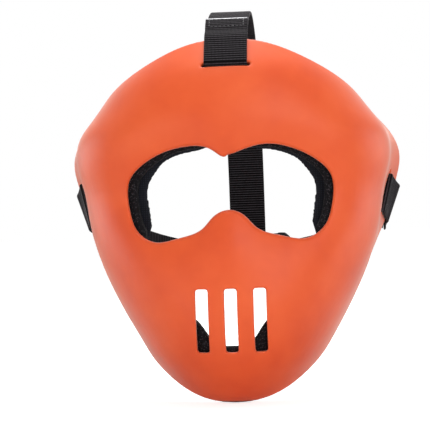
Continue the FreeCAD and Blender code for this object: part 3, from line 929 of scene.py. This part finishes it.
def sewRuns(name, ribbon, runs, lift, body, form):
    # rows of stitches on a band, each run from corner to corner
    corners, faces = [], []
    for run in runs:
        for (fromAlong, fromSide), (toAlong, toSide) in zip(run, run[1:]):
            length = math.hypot(toAlong - fromAlong, toSide - fromSide)
            count = max(1, round(length / form["pitch"]))
            half = form["length"] / form["pitch"] / 2
            for index in range(count):
                ends = []
                for part in (index + 0.5 - half, index + 0.5 + half):
                    share = part / count
                    ends.append(onBand(ribbon, fromAlong + (toAlong - fromAlong) * share,
                                       fromSide + (toSide - fromSide) * share, lift))
                addStitch(corners, faces, ends[0], ends[1], form)
    mesh = bpy.data.meshes.new(name)
    mesh.from_pydata([tuple(corner) for corner in corners], [], faces)
    smoothShade(mesh)
    piece = newPiece(name, mesh, threadMaterial)
    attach(piece, body)


def boxRun(first, last, half):
    return [(first, -half), (last, -half), (last, half), (first, half), (first, -half)]


def sewClosure(side, form):
    # the patches' stitches, on the faces that they leave bare
    face = webbingForm["thickness"] / 2
    tail = ribbons[side + "StrapTail"]
    end = tail["along"][-1]
    first, last = form["tailBox"]
    runs = [boxRun(end - first, end - last, form["half"])]
    sewRuns(side + "TailStitching", tail, runs, face, side + "_tab", form)
    strap = ribbons[side + "Strap"]
    patch = points(nodes[side + "_loop_patch"].data)
    away = np.linalg.norm(strap["middle"] - (patch.min(axis=0) + patch.max(axis=0)) / 2, axis=1)
    middle = strap["along"][np.argmin(away)]
    runs = [boxRun(middle - form["patchHalf"], middle + form["patchHalf"], form["half"])]
    sewRuns(side + "StrapStitching", strap, runs, -face, "mask", form)


def sewRearPad(form):
    face = webbingForm["thickness"] / 2
    half = form["half"]
    for side in ("left", "right"):
        runs = [boxRun(*form["sideBox"], half)]
        sewRuns(side + "PadStitching", ribbons[side + "Strap"], runs, face, "mask", form)
    first, last = form["crownBox"]
    cross = [[(first, -half), (last, half)], [(last, -half), (first, half)]]
    runs = [boxRun(first, last, half)] + cross
    sewRuns("crownPadStitching", ribbons["crownStrap"], runs, face, "mask", form)


for side in ("crown", "left", "right"):
    sewClosure(side, stitchForm)
sewRearPad(stitchForm)
print("seams sewn")


# floor, lights and surroundings

studio = {
    "floorBelow": 0.3 * mm,
    "floorSize": 6.0,
    "floorColour": "#fafafa",
    "floorLift": 0.62,  # shown to the camera alone, so that the floor meets the white surroundings
    "worldLight": 0.42,
}
lamps = {
    "keyLight": {"place": (0.5, -1.0, 0.4), "size": 0.8, "power": 4.5},
    "fillLight": {"place": (-0.7, -1.0, -0.2), "size": 0.9, "power": 4.4},
    # the walls give the pale bands down both sides, and light nothing else
    "leftWall": {"place": (-0.85, 0.2, -0.05), "size": 0.8, "power": 4.5, "sheenOnly": True},
    "rightWall": {"place": (0.85, 0.2, -0.05), "size": 0.8, "power": 4.0, "sheenOnly": True},
    "topLight": {"place": (0.0, 0.3, 0.95), "size": 0.5, "power": 6.5},
    "crownLight": {"place": (-0.03, -0.12, 0.42), "size": 0.12, "power": 0.28},
}


def makeFloor(look):
    half = look["floorSize"] / 2
    height = cadLow.z - look["floorBelow"]
    mesh = bpy.data.meshes.new("studioFloor")
    corners = [(-half, -half, height), (half, -half, height), (half, half, height), (-half, half, height)]
    mesh.from_pydata(corners, [], [(0, 1, 2, 3)])
    material = bpy.data.materials.new("paleFloor")
    material.use_nodes = True
    tree = material.node_tree
    tree.nodes.clear()
    paint = addNode(tree, "ShaderNodeBsdfDiffuse", {"Color": linear(look["floorColour"])})
    camera = addNode(tree, "ShaderNodeLightPath").outputs["Is Camera Ray"]
    lift = addNode(tree, "ShaderNodeMath", {1: look["floorLift"]}, {0: camera}, operation="MULTIPLY")
    glow = addNode(tree, "ShaderNodeEmission", {"Color": (1, 1, 1, 1)}, {"Strength": lift.outputs["Value"]})
    both = addNode(tree, "ShaderNodeAddShader",
                   links={0: paint.outputs["BSDF"], 1: glow.outputs["Emission"]})
    addNode(tree, "ShaderNodeOutputMaterial", links={"Surface": both.outputs["Shader"]})
    floor = newPiece("studioFloor", mesh, material)


def makeWorld(look):
    world = bpy.data.worlds.new("softStudio")
    bpy.context.scene.world = world
    world.use_nodes = True
    tree = world.node_tree
    tree.nodes.clear()
    path = addNode(tree, "ShaderNodeLightPath")
    seen = addNode(tree, "ShaderNodeMath", operation="MAXIMUM",
                   links={0: path.outputs["Is Camera Ray"], 1: path.outputs["Is Glossy Ray"]})
    seen = addNode(tree, "ShaderNodeMath", operation="MAXIMUM",
                   links={0: seen.outputs["Value"], 1: path.outputs["Is Transmission Ray"]})
    light = addNode(tree, "ShaderNodeBackground", {"Color": (1, 1, 1, 1), "Strength": look["worldLight"]})
    white = addNode(tree, "ShaderNodeBackground", {"Color": (1, 1, 1, 1), "Strength": 1.0})
    mix = addNode(tree, "ShaderNodeMixShader", links={
        0: seen.outputs["Value"], 1: light.outputs["Background"], 2: white.outputs["Background"]})
    addNode(tree, "ShaderNodeOutputWorld", links={"Surface": mix.outputs["Shader"]})


def makeLight(name, lamp):
    data = bpy.data.lights.new(name, "AREA")
    data.shape = "DISK"
    data.size = lamp["size"]
    data.energy = lamp["power"]
    light = bpy.data.objects.new(name, data)
    bpy.context.scene.collection.objects.link(light)
    light.location = lamp["place"]
    light.visible_diffuse = not lamp.get("sheenOnly", False)
    light.rotation_euler = (-Vector(lamp["place"])).to_track_quat("-Z", "Y").to_euler()


makeFloor(studio)
makeWorld(studio)
for lampName, lamp in lamps.items():
    makeLight(lampName, lamp)
bpy.context.scene.view_settings.view_transform = "Standard"
print("studio lit")
